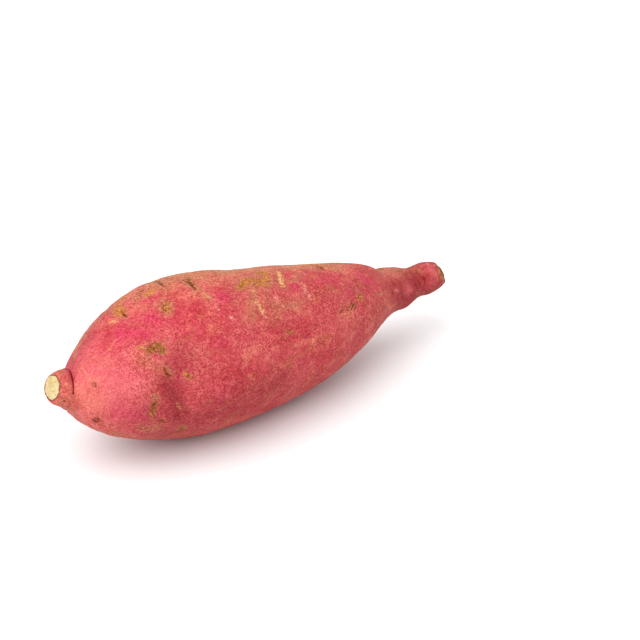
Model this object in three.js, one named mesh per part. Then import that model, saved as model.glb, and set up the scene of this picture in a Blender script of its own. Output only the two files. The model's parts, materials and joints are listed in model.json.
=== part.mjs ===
// A whole sweet potato lying on its side: one tapered root, plump behind the stem, slender towards the tail.
// Millimetres, +Z up. The stem neck points to -X, the tail to +X, and the front of the root faces -Y.
// The origin is under the middle of the root, on the surface that it lies on.
import * as THREE from "three";

// The spine of the root, from the stem cut to just beyond the tail cut, and the root's radius around it.
// y is the sideways drift of the spine and z its height.
const stations = [
  { x: -104.3, y: 0, z: 40.8, radius: 4.9 }, // rim of the stem cut
  { x: -103.1, y: 0, z: 40.4, radius: 6.1 },
  { x: -99.7, y: 0, z: 39.4, radius: 7.3 }, // neck
  { x: -96, y: 0, z: 38.3, radius: 8.2 },
  { x: -93.4, y: 0, z: 37.4, radius: 8.9 }, // foot of the neck, at the crease
  { x: -91.2, y: 0, z: 36.8, radius: 12.4 }, // shoulder
  { x: -87.5, y: 0, z: 35.8, radius: 16.2 },
  { x: -82, y: 0, z: 34.7, radius: 20.6 },
  { x: -75, y: 0, z: 34, radius: 24.6 },
  { x: -67, y: 0, z: 33.7, radius: 27.9 },
  { x: -57, y: 0, z: 33.5, radius: 31.1 },
  { x: -46, y: 0, z: 33.2, radius: 33.2 }, // greatest girth
  { x: -33, y: -0.3, z: 32.7, radius: 33.4 },
  { x: -17, y: -0.8, z: 31.1, radius: 32.1 },
  { x: -1, y: -1.2, z: 29.4, radius: 29.9 },
  { x: 20, y: -1.2, z: 28.2, radius: 26.6 },
  { x: 36, y: -0.6, z: 28.2, radius: 22.6 },
  { x: 47, y: 0, z: 28.6, radius: 19 },
  { x: 56, y: 0.6, z: 28.6, radius: 15.6 }, // where the body steps down to the tail
  { x: 65.5, y: 1.2, z: 28, radius: 11.8 },
  { x: 77.5, y: 1.8, z: 27, radius: 8.8 },
  { x: 87, y: 2.3, z: 26, radius: 7.2 }, // waist of the tail
  { x: 94.5, y: 2.6, z: 25.2, radius: 7.5 }, // knob of the tail
  { x: 100, y: 2.8, z: 24.7, radius: 6.6 },
  { x: 104, y: 3, z: 24.3, radius: 5 },
  { x: 107.6, y: 3.1, z: 24.1, radius: 3 }, // beyond the tail cut
];

// A place on the skin is given by x and the angle around the spine: 0 is the top, 90 the front, 180 below.
// The section isn't quite round: low lobes wind slowly along the root, at full height where it is thickest.
const greatestRadius = 33.4;
const lobes = [
  { count: 2, height: 0.45, facing: 101, turnPerLength: 0 },
  { count: 3, height: 0.35, facing: 60, turnPerLength: 0.35 },
  { count: 5, height: 0.2, facing: 20, turnPerLength: -0.25 },
];

// Soft swellings (rise above zero) and hollows (below), each with its reach along and around the root.
const swells = [
  { x: -96, around: 138, along: 4, across: 7, rise: 0.8 }, // below, the neck runs smoothly into the shoulder
  { x: -93.4, around: 205, along: 2.2, across: 8, rise: 1.2 },
  { x: -86, around: 172, along: 6, across: 12, rise: -0.6 },
  { x: -82, around: -40, along: 8, across: 14, rise: -0.4 },
  { x: -60, around: 148, along: 26, across: 13, rise: -0.7 }, // slack under the shoulder
  { x: -48, around: -42, along: 30, across: 15, rise: 0.6 },
  { x: -8, around: -32, along: 21, across: 16, rise: 0.5 },
  { x: -6, around: -34, along: 9, across: 14, rise: -0.9 }, // dip in the back
  { x: 11, around: -34, along: 9, across: 14, rise: 0.5 },
  { x: 44, around: -32, along: 14, across: 12, rise: 0.4 },
  { x: 66.5, around: -25, along: 3, across: 9, rise: -1.5 }, // notch where the body lobe ends
  { x: 78.5, around: 145, along: 6, across: 6, rise: 1.6 }, // fuller below, where the tail starts
  { x: 84.5, around: -30, along: 3.5, across: 7, rise: -0.8 }, // waist, above
  { x: 88, around: 69, along: 1.8, across: 3.2, rise: -0.9 }, // pinched spot on the knob
  { x: 94, around: 150, along: 6, across: 6, rise: -0.2 },
  { x: -24, around: 48, along: 9, across: 12, rise: -0.5 },
  { x: 14, around: 80, along: 14, across: 12, rise: 0.6 },
  { x: -58, around: 255, along: 16, across: 16, rise: 0.9 },
  { x: -22, around: 235, along: 12, across: 14, rise: -0.8 },
  { x: 12, around: 265, along: 15, across: 14, rise: 0.8 },
  { x: 40, around: 225, along: 9, across: 10, rise: -0.6 },
  { x: 30, around: 150, along: 14, across: 12, rise: -0.7 },
  { x: -70, around: 200, along: 10, across: 12, rise: -0.6 },
];

// In front the shoulder swells towards the stem, so that the neck is shorter there than above and behind.
const shoulder = {
  facing: 62,
  spread: 62,
  reach: 6.4,
  neckFrom: -104,
  fullFrom: -93.5,
  fullTo: -88,
  bodyTo: -58,
};

// The tail is cut off flat and aslant: a place on the cut, and how far the cut is turned and tilted.
const tailCut = { x: 104.6, y: 3, z: 24.5, turn: -18, tilt: 22 };

// The crease at the foot of the neck, deepest above.
const crease = { x: -93.6, facing: 15, spread: 62, width: 1.1, depth: 0.9 };

// Shallow wrinkles that wind round the tail.
const wrinkles = { x: 74, reach: 13, pitch: 5.2, height: 0.1 };

// A root eye is a shallow pit with a low lip round it. The lip's measures are shares of the pit's own.
const eyeLip = { height: 0.3, distance: 1.7, reach: 0.7 };

// Root eyes on the seen side.
const seenEyes = [
  { x: -66.4, around: 42, along: 3, across: 4.4, depth: 1 },
  { x: -54, around: 16, along: 3, across: 3.4, depth: 0.6 },
  { x: -37.6, around: 3, along: 3.6, across: 3, depth: 0.8 },
  { x: -68.2, around: -1, along: 3, across: 3.4, depth: 0.7 },
  { x: -54.7, around: -15, along: 3, across: 3, depth: 0.5 },
  { x: -66.3, around: 65, along: 2.8, across: 3.2, depth: 0.8 },
  { x: -73, around: 91, along: 2.8, across: 5.4, depth: 0.8 },
  { x: -91.6, around: 117, along: 2.4, across: 3, depth: 0.8 },
  { x: -88.6, around: -35, along: 2.2, across: 2.6, depth: 0.5 },
  { x: -7, around: 63, along: 3, across: 3.4, depth: 0.6 },
  { x: 30.2, around: 2, along: 3, across: 3.4, depth: 0.7 },
  { x: 33, around: 56, along: 3, across: 3.6, depth: 0.8 },
  { x: 25.7, around: 60, along: 3, across: 3.4, depth: 0.7 },
];

// Root eyes on the sides that don't show: they stand in rows along the root, drawn with a fixed seed.
const hiddenEyes = {
  rows: [152, 196, 236, 280, 318],
  fromX: -78,
  toX: 66,
  spacing: 29,
  jitterAlong: 16,
  jitterAround: 20,
  along: 2.9,
  across: 3.4,
  depth: 0.75,
  smallest: 0.75,
  largest: 1.15,
  seed: 41,
};

// How much of the belly is flattened where the root lies on it.
const restFlat = 0.6;

// How finely the skin is divided: the spacing of its rings along the outline, and the sides of each ring.
const ringStep = 2.8;
const sideCount = 64;

const skin = new THREE.MeshStandardMaterial({ color: 0xc4485c, roughness: 0.75, metalness: 0 });

// A smooth curve through the stations' centres, and a second one that carries the radius in its y.
const spine = new THREE.CatmullRomCurve3(stations.map(({ x, y, z }) => new THREE.Vector3(x, y, z)));
const girth = new THREE.CatmullRomCurve3(stations.map(({ x, radius }) => new THREE.Vector3(x, radius, 0)));

const { degToRad, radToDeg, euclideanModulo, lerp, seededRandom, smoothstep } = THREE.MathUtils;

// A smooth hump: 1 in its middle, next to nothing at twice its reach.
const hump = (distance, reach) => Math.exp(-((distance / reach) ** 2));

// The shorter way round between two angles, in degrees.
const turnBetween = (from, to) => euclideanModulo(to - from + 180, 360) - 180;

// The rows of eyes on the sides that don't show.
function rowEyes() {
  const { rows, fromX, toX, spacing, along, across, depth } = hiddenEyes;
  seededRandom(hiddenEyes.seed);
  const jitter = (width) => width * (seededRandom() - 0.5);
  const eyes = [];
  for (const row of rows) {
    for (let place = fromX + jitter(spacing); place < toX; place += spacing) {
      const size = lerp(hiddenEyes.smallest, hiddenEyes.largest, seededRandom());
      const x = place + jitter(hiddenEyes.jitterAlong);
      const around = row + jitter(hiddenEyes.jitterAround);
      eyes.push({ x, around, along: along * size, across: across * size, depth: depth * size });
    }
  }
  return eyes;
}

const eyes = [...seenEyes, ...rowEyes()];

// How far the shoulder swells towards the stem, for a ring of the spine and an angle around it.
function shoulderSwell(ringX, around) {
  const { facing, spread, reach, neckFrom, fullFrom, fullTo, bodyTo } = shoulder;
  const along = smoothstep(ringX, neckFrom, fullFrom) * (1 - smoothstep(ringX, fullTo, bodyTo));
  return reach * along * hump(turnBetween(facing, around), spread);
}

// The plane of the tail cut, facing away from the root.
function tailCutPlane() {
  const { x, y, z, turn, tilt } = tailCut;
  const slant = new THREE.Euler(0, -degToRad(tilt), degToRad(turn), "ZYX");
  const facing = new THREE.Vector3(1, 0, 0).applyEuler(slant);
  return new THREE.Plane().setFromNormalAndCoplanarPoint(facing, new THREE.Vector3(x, y, z));
}

// How far the skin stands out from the smooth root at a place on it.
function relief(x, ringX, around, radius) {
  const arc = (from) => degToRad(turnBetween(from, around)) * radius;
  let height = 0;
  for (const { count, height: rise, facing, turnPerLength } of lobes) {
    const angle = degToRad(count * (around - facing - turnPerLength * x));
    height += rise * (radius / greatestRadius) * Math.cos(angle);
  }
  for (const { x: middle, around: facing, along, across, rise } of swells) {
    height += rise * hump(x - middle, along) * hump(arc(facing), across);
  }
  for (const { x: middle, around: facing, along, across, depth } of eyes) {
    const reach = Math.hypot((x - middle) / along, arc(facing) / across);
    height += depth * (eyeLip.height * hump(reach - eyeLip.distance, eyeLip.reach) - hump(reach, 1));
  }
  const creaseTurn = turnBetween(crease.facing, around);
  height -= crease.depth * hump(ringX - crease.x, crease.width) * hump(creaseTurn, crease.spread);
  const wave = Math.cos((2 * Math.PI * x) / wrinkles.pitch + degToRad(around));
  height += wrinkles.height * wave * hump(x - wrinkles.x, wrinkles.reach);
  return height;
}

// The places along the curves, from 0 to 1, that get a ring.
function ringPlaces() {
  const places = [];
  const spans = stations.length - 1;
  for (let span = 0; span < spans; span++) {
    const here = stations[span];
    const next = stations[span + 1];
    const length = Math.hypot(next.x - here.x, next.radius - here.radius);
    const rings = Math.ceil(length / ringStep);
    for (let ring = 0; ring < rings; ring++) places.push((span + ring / rings) / spans);
  }
  places.push(1);
  return places;
}

// The outline to be turned: out along the stem cut, along the root, and in at the tail's end.
function outline() {
  const points = [new THREE.Vector2(0, 0)];
  for (const along of ringPlaces()) points.push(new THREE.Vector2(girth.getPoint(along).y, along));
  points.push(new THREE.Vector2(0, 1));
  return points;
}

// Bends the turned blank along the spine, shapes its skin, cuts off the tail and flattens the belly.
function shape(blank) {
  const position = blank.getAttribute("position");
  const front = new THREE.Vector3(0, -1, 0);
  const cutPlane = tailCutPlane();
  for (let i = 0; i < position.count; i++) {
    const turn = Math.atan2(position.getX(i), position.getZ(i));
    const radius = Math.hypot(position.getX(i), position.getZ(i));
    const along = position.getY(i);
    const up = new THREE.Vector3().crossVectors(front, spine.getTangent(along)).normalize();
    const outward = up.multiplyScalar(Math.cos(turn)).addScaledVector(front, Math.sin(turn));
    const place = spine.getPoint(along);
    const ringX = place.x;
    if (radius > 0) {
      const around = radToDeg(turn);
      place.addScaledVector(outward, radius);
      place.x -= shoulderSwell(ringX, around);
      place.addScaledVector(outward, relief(place.x, ringX, around, radius));
    }
    const beyondCut = Math.max(cutPlane.distanceToPoint(place), 0);
    place.addScaledVector(cutPlane.normal, -beyondCut);
    position.setXYZ(i, place.x, place.y, Math.max(place.z, restFlat));
  }
  blank.computeBoundingBox();
  const { min, max } = blank.boundingBox;
  return blank.translate(-(min.x + max.x) / 2, -(min.y + max.y) / 2, -min.z);
}

const root = new THREE.Mesh(shape(new THREE.LatheGeometry(outline(), sideCount)), skin);
root.name = "sweet_potato";

const potato = new THREE.Group();
potato.add(root);
export default potato;
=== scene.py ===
import json
import math
import random

import bpy
import numpy as np
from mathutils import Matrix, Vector, noise

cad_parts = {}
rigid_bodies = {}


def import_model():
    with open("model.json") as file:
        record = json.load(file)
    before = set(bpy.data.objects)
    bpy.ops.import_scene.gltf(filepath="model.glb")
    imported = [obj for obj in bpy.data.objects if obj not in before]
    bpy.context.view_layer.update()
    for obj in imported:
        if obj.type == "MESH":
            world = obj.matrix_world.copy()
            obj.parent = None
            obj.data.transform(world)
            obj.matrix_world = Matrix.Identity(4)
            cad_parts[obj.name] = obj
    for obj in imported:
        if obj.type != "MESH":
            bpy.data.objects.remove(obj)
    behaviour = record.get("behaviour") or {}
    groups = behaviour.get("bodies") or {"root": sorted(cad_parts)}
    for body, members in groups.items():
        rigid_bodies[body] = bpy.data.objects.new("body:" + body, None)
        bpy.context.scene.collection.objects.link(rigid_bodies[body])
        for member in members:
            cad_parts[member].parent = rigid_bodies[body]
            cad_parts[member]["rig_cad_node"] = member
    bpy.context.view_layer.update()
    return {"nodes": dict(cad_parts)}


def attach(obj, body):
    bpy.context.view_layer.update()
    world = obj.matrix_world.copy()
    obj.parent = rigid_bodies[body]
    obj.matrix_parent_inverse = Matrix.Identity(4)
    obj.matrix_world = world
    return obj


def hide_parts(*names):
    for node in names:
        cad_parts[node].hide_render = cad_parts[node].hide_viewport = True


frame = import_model()
rootNode = frame["nodes"]["sweet_potato"]
mm = 0.001
print("frame loaded")


# the camera stands where the photo was taken from
photoView = {
    "azimuth": -39,  # degrees, from the front of the root towards its stem
    "elevation": 28,  # degrees above the floor
    "distance": 800 * mm,
    "aim": (7.93 * mm, -28.66 * mm, 45.02 * mm),
    "lens": 108.9,  # mm
    "sensor": 36,  # mm
    "picture": 640,  # pixels, wide and high
}


def addCamera(view):
    turn = math.radians(view["azimuth"])
    rise = math.radians(view["elevation"])
    level = math.cos(rise)
    back = Vector((math.sin(turn) * level, -math.cos(turn) * level, math.sin(rise)))
    place = Vector(view["aim"]) + back * view["distance"]
    bpy.ops.object.camera_add(location=place, rotation=(math.pi / 2 - rise, 0, turn))
    camera = bpy.context.object
    camera.name = "photoCamera"
    camera.data.lens = view["lens"]
    camera.data.sensor_width = view["sensor"]
    bpy.context.scene.camera = camera
    bpy.context.view_layer.update()
    return camera


camera = addCamera(photoView)
print("camera placed")


# the skin starts as a copy of the solid, welded and subdivided
skinShape = {
    "weld": 0.001 * mm,
    "subdivisions": 1,
    "quadAngle": 70,  # degrees, how far two triangles may differ and still join
    "lumpSize": 9 * mm,
    "lumpHeight": 0.5 * mm,
    "rippleSize": (4 * mm, 34 * mm, 34 * mm),  # low folds across the root
    "rippleHeight": 0.3 * mm,
    "lineSize": (40 * mm, 3 * mm, 3 * mm),  # faint lines along the root
    "lineHeight": 0.14 * mm,
    "grainSize": 2.2 * mm,
    "grainHeight": 0.12 * mm,
}


def applyModifier(piece, modifier):
    bpy.context.view_layer.objects.active = piece
    bpy.ops.object.modifier_apply(modifier=modifier.name)


def copyRoot(node, shape):
    bpy.ops.object.select_all(action="DESELECT")
    node.select_set(True)
    bpy.context.view_layer.objects.active = node
    bpy.ops.object.duplicate()
    skin = bpy.context.object
    skin.name = "root_skin"
    skin.data.name = "root_skin"
    del skin["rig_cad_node"]  # the copy is a piece of its own
    skin.data.materials.clear()
    bpy.ops.object.mode_set(mode="EDIT")
    bpy.ops.mesh.select_all(action="SELECT")
    bpy.ops.mesh.customdata_custom_splitnormals_clear()
    bpy.ops.mesh.remove_doubles(threshold=shape["weld"])
    angle = math.radians(shape["quadAngle"])
    bpy.ops.mesh.tris_convert_to_quads(face_threshold=angle, shape_threshold=angle)
    bpy.ops.object.mode_set(mode="OBJECT")
    finer = skin.modifiers.new("finer", "SUBSURF")
    finer.levels = finer.render_levels = shape["subdivisions"]
    applyModifier(skin, finer)
    bpy.ops.object.shade_smooth()
    return skin


def cloudTexture(name, size, depth=2):
    clouds = bpy.data.textures.new(name, "CLOUDS")
    clouds.noise_scale = size
    clouds.noise_depth = depth
    return clouds


def displace(piece, name, height, texture=None, group=None, stretch=None):
    push = piece.modifiers.new(name, "DISPLACE")
    push.strength = height
    push.mid_level = 0.5 if texture else 0  # clouds go both ways, a plain push one way
    push.texture = texture
    if group:
        push.vertex_group = group
    if texture:
        push.texture_coords = "LOCAL"
    guide = None
    if stretch:  # an empty that the clouds are stretched on
        bpy.ops.object.empty_add()
        guide = bpy.context.object
        guide.scale = stretch
        bpy.context.view_layer.update()
        push.texture_coords = "OBJECT"
        push.texture_coords_object = guide
    applyModifier(piece, push)
    if guide:
        bpy.data.objects.remove(guide)


def roughenSkin(piece, shape):
    displace(piece, "lumps", shape["lumpHeight"], cloudTexture("lumps", shape["lumpSize"]))
    for name in ("ripple", "line"):
        displace(piece, name, shape[name + "Height"], cloudTexture(name, 1), stretch=shape[name + "Size"])
    displace(piece, "grain", shape["grainHeight"], cloudTexture("grain", shape["grainSize"]))


def readVertices(piece, what="co"):
    flat = np.empty(len(piece.data.vertices) * 3)
    piece.data.vertices.foreach_get(what, flat)
    return flat.reshape(-1, 3)


def smoothStep(values, low, high):
    share = np.clip((values - low) / (high - low), 0, 1)
    return share * share * (3 - 2 * share)


skin = copyRoot(rootNode, skinShape)
print("skin copied:", len(skin.data.polygons), "faces")


# marks on the seen side by kind: width in mm, strength, which also widens a mark where it is over 1,
# and the photo's pixels along its middle
skinMarks = {}
skinMarks["ochre"] = {  # dry crusts
    "bigEyeSide": (2.2, 0.6, (138.5, 347.6), (144, 348.8)),
    "blob": (3.2, 1.25, (117.6, 308.6), (121.4, 312.4)),
    "blobBelow": (1.8, 0.4, (112, 322), (115.6, 320.8)),
    "edgePatch": (1.8, 0.9, (118, 302), (125, 297.4)),
    "shoulderCrust": (2.6, 0.95, (146, 295), (150, 293), (153, 291)),
    "ridgeCrust": (1.6, 0.6, (166, 278.5), (173, 276)),
    "rootStreakTip": (1.2, 0.8, (196, 289), (198, 291.5)),
    "squareEyeFill": (3, 0.8, (165.6, 305.4), (168.8, 310)),
    "smallCrust": (2.2, 0.62, (204.8, 295.4), (207.8, 298)),
    "sideCrust": (2, 0.8, (185.5, 374), (190.5, 376.5)),
    "longScarTip": (1.3, 0.7, (151.8, 412), (153, 417)),
    "lowEyeSide": (0.9, 0.7, (164.5, 419.5), (166, 421)),
    "lowCrust": (1.7, 0.7, (178, 405), (181.5, 408)),
    "lowDarkEyeSide": (1.4, 0.45, (103, 425), (107.5, 425.5)),
    "lowPatch": (1.2, 0.6, (113.5, 433.6), (117.5, 435.4)),
    "band": (2.9, 1.05, (241, 286.5), (245.5, 280.5), (252, 280), (259, 282), (267, 280.5)),
    "bandTop": (2.6, 1.05, (259.5, 273.5), (263.5, 272.5), (266.5, 276), (266, 281)),
    "bandLow": (1.6, 0.8, (257, 285), (265, 285)),
    "bandEnd": (1.3, 0.7, (268, 284.5), (271, 288)),
    "bandTail": (1.6, 0.5, (250.5, 288), (253, 292)),
    "scrape": (2.4, 0.7, (277.6, 273), (280.2, 278), (282.6, 286)),
    "scrapeFarEdge": (0.8, 0.7, (280.6, 273), (282.8, 279), (284.8, 286)),
    "scrapeTip": (1.2, 0.9, (280.8, 286.5), (283.6, 288)),
    "topEyeBand": (2.4, 0.6, (311, 265), (318, 265.5), (333, 267)),
    "farRing": (1.1, 0.8, (358, 297), (359.5, 294.8), (362, 296.5), (361.3, 300), (358.6, 299.8)),
}
skinMarks["olive"] = {  # deep parts of scars and eyes
    "bigEye": (3.4, 1, (151, 350), (155, 347.5), (158, 347), (161.5, 350.5)),
    "bigEyeBase": (1.4, 0.9, (149.5, 351.5), (162.5, 352)),
    "shoulderScarSide": (1.6, 0.6, (137, 297.5), (141, 298)),
    "topScar": (2.2, 1, (156, 281.6), (162.4, 284.4)),
    "rootStreak": (2.2, 0.95, (187, 279.5), (193, 285)),
    "squareEye": (1.2, 0.9, (169.5, 303.4), (165, 304.2), (163.4, 307), (163.6, 309.6), (166, 311.8)),
    "pits": (1.3, 0.7, (167.5, 371), (170.5, 376)),
    "sideCrust": (1.6, 0.75, (186, 374.6), (190, 376)),
    "longScarTop": (1.7, 0.6, (155.2, 397.4), (154.8, 402.5)),
    "longScarMiddle": (1.7, 1, (154.6, 403), (152.6, 410)),
    "longScarTip": (1.5, 0.85, (152.4, 410), (153, 414.6)),
    "longScarSide": (1.1, 0.7, (147, 414), (150, 412)),
    "bellyStreak": (1.8, 0.9, (178.5, 431), (184, 428)),
    "bellyPatch": (1, 0.55, (143, 427), (147, 430.5)),
    "bandStart": (1.8, 0.8, (240.5, 286.5), (243, 284.5)),
    "bandTop": (1, 0.65, (259.5, 272.5), (263, 273.6), (265.5, 277)),
    "bandEdge": (1.2, 0.65, (245, 278.4), (248, 279.4)),
    "scrapeEdge": (0.9, 0.8, (276.3, 271.5), (277.8, 277.5), (280.4, 284.5)),
    "midSpot": (1.5, 0.7, (288.5, 332), (291, 333)),
    "fan": (1.6, 0.6, (350, 306), (355, 305)),
    "tailNotch": (1.8, 0.9, (376, 268.8), (379.3, 269.4), (382, 269.6)),
    "tailTop": (1.4, 0.6, (388, 270.4), (395, 270.2)),
    "knobRim": (1.8, 0.85, (437.6, 265.6), (440.6, 270), (442.8, 275), (443.8, 279.6)),
}
skinMarks["brown"] = {  # dark lines and pits
    "bigEyeVein": (0.7, 0.8, (153, 349), (160, 350)),
    "blobStreakTop": (0.8, 0.9, (121.4, 311), (124.6, 315.4)),
    "topScar": (1.1, 0.75, (157.4, 281.4), (160, 282.4), (162.6, 283.6)),
    "rootStreak": (1.1, 0.85, (189.5, 281.5), (192.5, 285), (195.6, 289.6)),
    "pitOne": (0.9, 1.3, (164.8, 369.5), (165.4, 370.5)),
    "pitTwo": (0.9, 1.3, (166.8, 373.3), (167.4, 374.3)),
    "pitThree": (0.9, 1.3, (169.6, 376.3), (170.4, 377)),
    "pitFour": (0.8, 1.2, (165.8, 363.5), (166.6, 364.8)),
    "longScarMiddle": (1, 1, (155.6, 403.6), (153.2, 407.4)),
    "longScarEdge": (0.6, 0.8, (156.6, 406), (154.4, 412.5)),
    "lowEye": (1.4, 0.9, (160.5, 421), (163.4, 419.6), (165, 421.5)),
    "bellyFleck": (1.1, 0.75, (169.5, 434), (172, 432.4), (174, 432.5)),
    "bellyStreak": (0.9, 1, (177, 432.4), (182, 430.4)),
    "ringEye": (
        0.7, 0.95, (92.2, 384.8), (93.6, 382.9), (95.8, 384),
        (95.6, 386.4), (93.4, 386.9), (92.2, 384.8),
    ),
    "lowDarkEye": (1.5, 1, (93.2, 420.2), (95.4, 421.8), (98, 420.6), (97.6, 418.6)),
    "lowDarkEyeTop": (0.7, 0.7, (93.6, 418.2), (96, 417.6)),
    "neckEye": (0.9, 0.8, (72, 357.8), (73.4, 361)),
    "neckDotOne": (0.7, 0.9, (64, 400.6), (65, 401.2)),
    "neckDotTwo": (0.6, 0.8, (66.4, 399.2), (67, 400)),
    "neckDotThree": (0.6, 0.8, (68.6, 402.8), (69.2, 403.4)),
    "neckDotFour": (0.6, 0.8, (61.5, 398.4), (62.4, 399)),
    "farRingDark": (0.6, 0.8, (358, 298.6), (358.6, 295.4), (361, 294.8)),
    "fanOne": (0.8, 0.95, (348, 310), (351.5, 303.5)),
    "fanThree": (0.8, 0.9, (354.5, 310), (357.5, 303.5)),
    "fanPatch": (1.7, 0.75, (340.5, 312), (346, 308)),
    "knobStreak": (1.2, 0.75, (409.6, 269.4), (413, 271.6), (416, 275)),
    "knobUnder": (1.2, 0.75, (417.4, 293.6), (425, 292.8), (433.4, 290.2), (439, 286.8)),
}
skinMarks["umber"] = {  # hair lines and the darkest cores
    "bigEyeRim": (0.6, 0.75, (148, 350), (150.5, 345.5), (155, 343), (160, 345.5), (163.5, 351)),
    "blobStreak": (1.1, 1.05, (122.8, 314.2), (126.2, 316.8)),
    "shoulderScar": (0.6, 0.85, (136, 294.5), (140, 291.5), (144, 290.5)),
    "shoulderScarLow": (0.5, 0.75, (134, 297.4), (138, 295.6), (142.4, 296)),
    "shoulderScarTop": (0.5, 0.8, (138.6, 289.6), (143, 288.4)),
    "topScarCore": (0.8, 1, (159, 281.8), (162.4, 283.2)),
    "topScarLow": (0.6, 1.25, (161.2, 285), (163.4, 286), (165.6, 287.8)),
    "rootStreakCore": (0.9, 1.1, (190, 282), (192.6, 285.2), (195.2, 289)),
    "rootStreakHairOne": (0.6, 0.85, (186.5, 276.8), (191, 283)),
    "rootStreakHairTwo": (0.6, 0.75, (189.2, 277.8), (193, 283)),
    "rootStreakBranch": (0.6, 1.1, (182.4, 279.6), (189.4, 283)),
    "squareEyeLine": (0.5, 0.75, (168.4, 303.6), (163.8, 306), (163.4, 310)),
    "stemRimLeft": (
        0.7, 1.1, (47.8, 376.4), (45.8, 380), (45.2, 385),
        (45.4, 390), (46.6, 395), (49, 399), (51.5, 401.4),
    ),
    "topEye": (1.1, 0.95, (317, 266), (320, 266.8), (323, 268.3)),
    "fanTwo": (0.7, 0.95, (351, 310.5), (355, 302)),
}
skinMarks["pale"] = {  # scraped flecks
    "bigEyeSide": (2.4, 0.45, (139, 347), (144, 349.5)),
    "blobTop": (2, 0.6, (117, 308), (119.6, 310.4)),
    "blobBelow": (2.6, 0.8, (111.6, 322), (116, 320.4)),
    "shoulderScar": (2.6, 0.5, (134.5, 299), (138, 293.6), (141.5, 294)),
    "squareEyeInside": (1.8, 0.5, (167, 307.6), (169, 311)),
    "smallCrust": (2.2, 0.72, (204.6, 295), (208, 297.8)),
    "crumbAbove": (1.4, 0.72, (200, 276.5), (202, 277)),
    "crumbBeside": (1.3, 0.63, (210, 286.5), (212, 287)),
    "scrape": (2.2, 0.9, (277.5, 272), (280, 277), (282.6, 285)),
    "fleckOne": (1.4, 0.58, (252, 289), (255.5, 294)),
    "fleckTwo": (1.9, 0.8, (255.6, 301.6), (259, 303.4), (261, 306)),
    "fleckThree": (2, 0.78, (259.6, 306), (260.4, 310), (263, 312.4)),
    "topEyeLine": (0.9, 0.6, (309, 267), (316, 271)),
    "farRingSide": (0.9, 0.6, (362.5, 299), (363.5, 301)),
    "fan": (0.9, 0.7, (343.5, 313), (345, 314)),
    "midStreak": (0.8, 0.6, (318.5, 322), (321, 324.5)),
}
skinMarks["pink"] = {  # light flecks; on the knob's top a painted highlight, along the top edge a painted sheen
    "fleckThreeEnd": (1.4, 0.8, (263.5, 314), (265.5, 316.5)),
    "fleckFour": (1.4, 0.8, (275.5, 297), (278, 301)),
    "fleckFive": (1.3, 0.75, (280.5, 305), (282.5, 307)),
    "fleckSix": (2, 0.72, (302, 284.5), (305.5, 287)),
    "fleckSeven": (1.9, 0.76, (304.5, 289), (306, 292.5), (309, 295.5)),
    "fleckEight": (1.4, 0.8, (310, 298.3), (312, 299.5)),
    "fleckNine": (1.5, 0.85, (217, 308), (219.5, 310)),
    "fleckTen": (1.8, 0.8, (229.5, 316.5), (234.5, 320)),
    "arc": (1, 0.7, (299.5, 271.5), (303, 272.5), (305.5, 275)),
    "farFleckOne": (1.4, 0.6, (348, 271.7), (350, 272)),
    "farFleckTwo": (1.4, 0.55, (365.8, 275.2), (367.6, 275.8)),
    "farFleckThree": (1.4, 0.6, (340.8, 283), (342.6, 283.8)),
    "tailLightOne": (1.6, 0.7, (396.4, 289), (397.4, 291.6)),
    "tailLightTwo": (1.8, 0.45, (409.6, 287), (410.8, 289.4)),
    "knobHighlight": (2.2, 0.5, (422, 265), (428, 263.8), (434, 265.4)),
    "topEdgeSheen": (3, 0.5, (262, 269.4), (280, 267.4), (300, 266.2)),
}
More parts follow.
